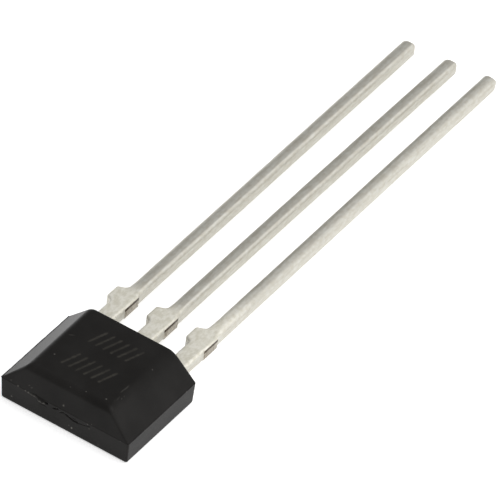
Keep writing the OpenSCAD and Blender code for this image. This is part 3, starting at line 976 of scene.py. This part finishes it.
def lead_corners(i):
    """Anticlockwise corner points of lead 1, 2 or 3, seen from the marked face."""
    x = (i - 2) * PITCH
    right_side = side_corners(x, 1, root_out=0.03, stand_out=0.05, fillets=(0, 0), soft=0)
    left_side = side_corners(x, -1, root_out=0.075, stand_out=0.26, fillets=(0.13, 0.14), soft=0.083)
    left_side = left_side[::-1]
    tip = [(x + HALF, TIPS[i], TIP_RIGHT_R), (x - HALF, TIPS[i], TIP_LEFT_R)]
    if i == 1:
        root = [(-POST_OUT, POST_NEAR, POST_R), (-POST_IN, POST_NEAR, POST_R),
                (-POST_IN, POST_FAR, POST_R), (x + HALF, POST_FAR, NECK_R)]
        return root + right_side + tip + left_side + notch_corners(x, -1)[::-1]
    if i == 3:
        root = [(x - HALF, POST_FAR, NECK_R), (POST_IN, POST_FAR, POST_R),
                (POST_IN, POST_NEAR, POST_R), (POST_OUT, POST_NEAR, POST_R)]
        return root + notch_corners(x, 1) + right_side + tip + left_side
    root = [(x - HALF, PADDLE_FAR, NECK_R), (-PADDLE_HALF, PADDLE_FAR, POST_R),
            (-PADDLE_HALF, PADDLE_NEAR, POST_R), (PADDLE_HALF, PADDLE_NEAR, POST_R),
            (PADDLE_HALF, PADDLE_FAR, POST_R), (x + HALF, PADDLE_FAR, NECK_R)]
    return root + notch_corners(x, 1) + right_side + tip + left_side + notch_corners(x, -1)[::-1]


for i in TIPS:
    print("lead", i, "has", len(lead_corners(i)), "corners")

# %% [markdown]
# ## Levels of a lead
# The punch comes down from the marked side. It draws the upper edge down with it, which leaves a
# soft roll, and it leaves the lower edge almost sharp. On the free leads the roll is so wide that the
# upper face is crowned, while the wide roots stay flat with a small roll. Two stacks of outlines hold
# these two sections, and each lead blends from one to the other. Long straight runs get points along
# them, because a real lead is never quite straight.

# %% Stacks of outlines
STRIP_LOW, STRIP_HIGH = (corner.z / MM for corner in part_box("lead_1"))
STRIP_MID = (STRIP_LOW + STRIP_HIGH) / 2
ROLL, CROWN = 0.12, 0.16
ROOT_ROLL, ROOT_CROWN = 0.065, 0.075
BURR = 0.03
WALL_LEVELS = (0.46, 0.52, 0.57, 0.612, 0.636)
SIDE_LEVEL = 5


def rolled(roll, crown):
    """Height and inset of each outline, from the sharp lower edge to the rolled upper one."""
    stack = [(z, BURR - math.sqrt(max(BURR ** 2 - (BURR - (z - STRIP_LOW)) ** 2, 0)))
             for z in STRIP_LOW + BURR * (1 - np.cos(np.radians([0, 30, 60, 90])))]
    stack += [(z, 0.0) for z in WALL_LEVELS]
    stack += [(STRIP_HIGH - roll + roll * math.sin(t), crown * (1 - math.cos(t)))
              for t in np.radians(np.linspace(0, 90, 11))]
    return stack


STACK = rolled(ROLL, CROWN)
ROOT_STACK = rolled(ROOT_ROLL, ROOT_CROWN)
print("levels of a lead:", len(STACK), "from", STACK[0][0], "to", round(STACK[-1][0], 4))

# %% Points along the long runs
LONGEST_RUN = 0.25


def fill_runs(outline, longest):
    """How many pieces each run of an outline is cut into, so that none is longer than a limit."""
    plan = []
    for a, b in zip(outline, np.roll(outline, -1, 0)):
        plan.append(max(1, math.ceil(np.linalg.norm(b - a) / longest)))
    return plan


def with_runs(outline, plan):
    """The outline with the points of that plan added."""
    filled = []
    for a, b, count in zip(outline, np.roll(outline, -1, 0), plan):
        for k in range(count):
            filled.append(a + (b - a) * k / count)
    return np.array(filled)


print("a run of 1 mm becomes", fill_runs(np.array([(0, 0), (1, 0)]), LONGEST_RUN)[0], "pieces")

# %% [markdown]
# ## One lead
# The rings are drawn flat first, then joined, and bent at the end. Leads get bent a little when they
# are handled: the middle one swings aside, and the right one is turned about its length. Near its tip
# each is domed, because the shear pulled its end down as it cut. On lead 1 and lead 2 the crown leans
# to the right, and on lead 3 it stands in the middle. A curve modifier could bend them, but such
# small amounts are easier to keep exact when the points are moved directly.

# %% Rings of a lead
FREE_FROM, FREE_RUN = 3.25, 0.5
LEAN = {1: 0.058, 2: 0.058, 3: 0.0}


def lead_rings(i):
    """All points of a lead, from the burred lower edge to the rolled upper one, and its side ring."""
    corners = lead_corners(i)
    plan = fill_runs(rounded_outline(corners, 0), LONGEST_RUN)
    soft, firm = (
        [with_runs(rounded_outline(corners, inset), plan) for _, inset in stack]
        for stack in (STACK, ROOT_STACK)
    )
    side_ring = soft[SIDE_LEVEL]
    free = ease(np.clip((side_ring[:, 1] - FREE_FROM) / FREE_RUN, 0, 1))
    rings = []
    for crowned, flat, (z_soft, inset), (z_firm, _) in zip(soft, firm, STACK, ROOT_STACK):
        crowned = crowned + (LEAN[i] * inset / CROWN, 0)
        outline = crowned * free[:, None] + flat * (1 - free[:, None])
        rings.append(np.column_stack([outline, z_soft * free + z_firm * (1 - free)]))
    return np.concatenate(rings), side_ring


print("points of lead 1:", len(lead_rings(1)[0]))

# %% Where the punch cut
PLATED, SHEARED, TORN_AND_SHADED = 0, 1, 2
CUT_TOP, TORN_AND_SHADED_FROM = 0.69, 0.63
ON_SHORT, ON_LONG = 0.047, 0.257
TORN_AND_SHADED_HIGH, TORN_AND_SHADED_LOW = 0.045, 0.03


def cut_slots(i, side_ring):
    """The finish of each face of a lead's walls, level by level."""
    x, y = side_ring.T
    mid = np.stack([x + np.roll(x, -1), y + np.roll(y, -1)]) / 2
    off = mid[0] - (i - 2) * PITCH
    on_short = (off > HALF + ON_SHORT) & (mid[1] > SHEAR_LOW) & (mid[1] < SHEAR_HIGH)
    on_long = (off < -HALF - ON_LONG) & (np.abs(mid[1] - STUB_Y) < STUB_HALF)
    cut = on_short | on_long
    # Near the top of a cut face, and at both ends of a short cut, the face takes the dark finish: partly
    # torn copper, partly painted shade.
    torn_and_shaded_end = on_short & ((mid[1] > SHEAR_HIGH - TORN_AND_SHADED_HIGH) | (mid[1] < SHEAR_LOW + TORN_AND_SHADED_LOW))
    slots = []
    for (low_z, _), (high_z, _) in zip(STACK[:-1], STACK[1:]):
        below_roll = high_z < CUT_TOP
        here = np.where(cut & below_roll, SHEARED, PLATED)
        torn_and_shaded = (cut & (low_z > TORN_AND_SHADED_FROM)) | torn_and_shaded_end
        slots.extend(np.where(torn_and_shaded & below_roll, TORN_AND_SHADED, here).tolist())
    return slots


print("cut faces of lead 1:", sum(slot != PLATED for slot in cut_slots(1, lead_rings(1)[1])))

# %% Fill the two flat faces
def end_faces(points, count):
    """Triangles that close the lower and the upper ring and face outwards."""
    closed = []
    for start, flip in ((0, True), ((len(STACK) - 1) * count, False)):
        ring = [Vector((*points[start + k, :2], 0)) for k in range(count)]
        for tri in tessellate_polygon([ring]):
            tri = [start + k for k in tri]
            a, b, c = (points[k] for k in tri)
            faces_up = np.cross(b - a, c - a)[2] > 0
            closed.append(tri if faces_up != flip else tri[::-1])
    return closed


print("face filler:", end_faces.__name__)

# %% Bend a lead
TWIST = {1: 0.5, 2: 1.5, 3: 6.0}
ASIDE = {1: 0.007, 2: 0.058, 3: 0.008}
RIPPLE = 0.0022
DOME_RUN, DOME_SHARE, DOME_DROP = 0.17, 0.32, 0.02


def bend_lead(points, i):
    """The small bends and the twist of a handled lead and the dome of its tip, in place."""
    x, y, z = points.T
    swing = np.clip((y - BODY_END) / 15, 0, 1) ** 1.5
    twist = TWIST[i] * np.clip((y - 1.6) / 3, 0, 1)
    across, rise = x - (i - 2) * PITCH, z - STRIP_MID
    c, s = np.cos(np.radians(twist)), np.sin(np.radians(twist))
    aside = ASIDE[i] * np.clip((y - 3.5) / 13, 0, 1) ** 2
    waver_x = 0.006 * swing * wander(y, 50 + i, 4.0)
    waver_z = 0.008 * swing * wander(y, 60 + i, 5.0)
    points[:, 0] = (i - 2) * PITCH + across * c + rise * s + aside + waver_x
    points[:, 2] = STRIP_MID + rise * c - across * s + waver_z
    ripple = RIPPLE * wander(y + np.sign(across) * 40, 70 + i, 0.35)
    near_tip = np.clip((y - TIPS[i] + DOME_RUN) / DOME_RUN, 0, 1)
    dome = 1 - DOME_SHARE * near_tip ** 2.5
    points[:, 2] = STRIP_MID - DOME_DROP + (points[:, 2] - STRIP_MID + DOME_DROP) * dome
    outside = (np.abs(across) > 0.06) & (y > BODY_END)
    points[:, 0] += np.where(outside, np.sign(across) * (ripple - RIPPLE), 0)


print("twist in degrees:", TWIST, "and aside in mm:", ASIDE)

# %% Build one lead
DULL_AND_LIT_END = {1: 3.2, 2: 3.2, 3: 3.4}
DULL_AND_LIT_FADE = {1: 0.6, 2: 0.7, 3: 2.2}
UPPER_FROM, UPPER_FADE = 0.66, 0.07
NORMAL_WEIGHT = 80


def build_lead(i):
    """One bent and finished lead, which stands for its node of the frame."""
    points, side_ring = lead_rings(i)
    count = len(side_ring)
    faces = ring_faces(count, len(STACK)).tolist()
    ends = end_faces(points, count)
    slots = cut_slots(i, side_ring) + [PLATED] * len(ends)
    bend_lead(points, i)
    finishes = [matt_tin, sheared_copper, torn_edge_and_shade]
    lead = skin(f"tinned_lead_{i}", points, faces + ends, finishes, slots)
    # Only the upper faces near the body get this share: a duller finish, with a paler colour painted on
    # as painted light.
    gone = ease(np.clip((points[:, 1] - DULL_AND_LIT_END[i]) / DULL_AND_LIT_FADE[i], 0, 1))
    lit_on_top = np.clip((points[:, 2] - UPPER_FROM) / UPPER_FADE, 0, 1)
    paint(lead, "dull_and_painted_light", (1 - gone) * lit_on_top)
    weighted = lead.modifiers.new("even_normals", "WEIGHTED_NORMAL")
    weighted.weight = NORMAL_WEIGHT
    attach(lead, "root")
    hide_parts(f"lead_{i}")
    print(lead.name, len(points), "points", len(slots), "faces")


for i in (1, 2, 3):
    build_lead(i)

# %% [markdown]
# ## Inside the epoxy
# The chip, its adhesive and the gold wires are hidden in the finished part, and their shapes come
# straight from the frame. They still get their real finishes. The chip is polished silicon under thin
# oxide, which shows blue and violet, with the tiles of its circuit between pale paths. The adhesive is
# resin filled with silver flakes of about 10 micrometres. The wires are drawn gold.

# %% Give a node its finish
def dress(node_name, material):
    """Give a node of the frame its finish."""
    node = frame["nodes"][node_name]
    if not node.material_slots:
        node.data.materials.append(material)
    for held in node.material_slots:
        held.material = material


print("nodes of the frame:", sorted(frame["nodes"]))

# %% Polished silicon
silicon, tree = new_material("silicon_wafer_polished")
place = add(tree, "TexCoord").outputs["Object"]
tiles = add(tree, "TexBrick", {
    "Vector": place, "Scale": 1 / (0.5 * MM), "Color1": linear("#4a4d5c"), "Color2": linear("#5a5468"),
    "Mortar": linear("#8f8a7a"), "Mortar Size": 0.03,
})
surface(tree, add(tree, "BsdfPrincipled", {
    "Base Color": tiles.outputs["Color"], "Metallic": 0.2, "Roughness": 0.18, "IOR": 1.46,
}))
dress("die", silicon)
print("dressed: die")

# %% Resin with silver flakes
silver_resin, tree = new_material("epoxy_filled_with_silver_flakes")
place = add(tree, "TexCoord").outputs["Object"]
flakes = add(tree, "TexVoronoi", {"Vector": place, "Scale": 1 / (0.012 * MM)})
flake_tone = add(tree, "ValToRGB", {"Fac": flakes.outputs["Distance"]})
flake_tone.color_ramp.elements[0].color = linear("#c9c5bc")
flake_tone.color_ramp.elements[1].color = linear("#8c877c")
surface(tree, add(tree, "BsdfPrincipled", {
    "Base Color": flake_tone.outputs["Color"], "Metallic": 0.7, "Roughness": 0.5,
}))
dress("die_attach", silver_resin)
print("dressed: die_attach")

# %% Drawn gold wire
gold, tree = new_material("gold_wire_drawn")
place = add(tree, "TexCoord").outputs["Object"]
drawn = add(tree, "TexNoise", {"Vector": place, "Scale": 1 / (0.02 * MM), "Detail": 2.0})
drawn_tone = add(tree, "ValToRGB", {"Fac": drawn.outputs["Fac"]})
drawn_tone.color_ramp.elements[0].color = linear("#e0b04e")
drawn_tone.color_ramp.elements[1].color = linear("#f6d488")
surface(tree, add(tree, "BsdfPrincipled", {
    "Base Color": drawn_tone.outputs["Color"], "Metallic": 1.0, "Roughness": 0.2,
}))
for i in (1, 2, 3):
    dress(f"bond_wire_{i}", gold)
print("dressed: the three bond wires")
